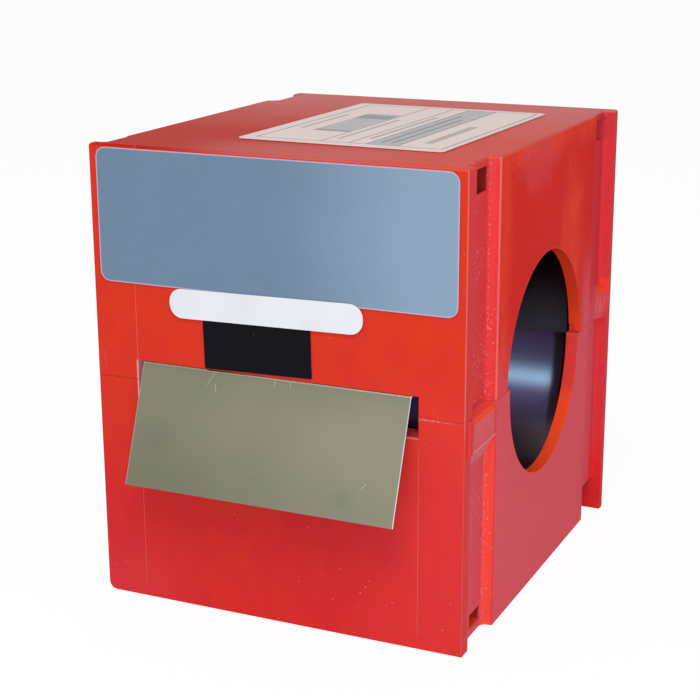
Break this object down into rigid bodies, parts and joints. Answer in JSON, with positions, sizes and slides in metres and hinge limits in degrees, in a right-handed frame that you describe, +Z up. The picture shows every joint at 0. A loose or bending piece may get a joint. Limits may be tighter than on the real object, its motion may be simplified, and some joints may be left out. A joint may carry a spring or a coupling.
{
  "type": "shim stock roll in a dispenser box",
  "caption": "Coil of thin steel shim strip in a red moulded two-part dispenser box, with its free end hanging out of a front slot and round finger holes in the sides.",
  "frame": {"origin": "middle of the box's underside, in plan half way between the rails and half way between the front and rear faces", "axes": "+Z up; -Y out of the front face, which has the slot and the hanging strip; +X to the right as the front is seen. The coil's axis runs along X."},
  "size_m": [0.0706, 0.0833, 0.0818],
  "materials": {
    "red_plastic": "injection moulded, semi-gloss",
    "steel_foil": "cold rolled, fine satin",
    "label_silver": "blue-silver metallic film",
    "sticker_white": "matt white film",
    "sticker_black": "matt black film",
    "label_paper": "off-white ruled paper"
  },
  "bodies": {
    "root": {"lower_shell": "red_plastic", "upper_shell": "red_plastic", "foil_roll": "steel_foil", "front_label": "label_silver", "size_sticker": "sticker_white", "gauge_sticker": "sticker_black", "top_label": "label_paper"}
  },
  "joints": []
}
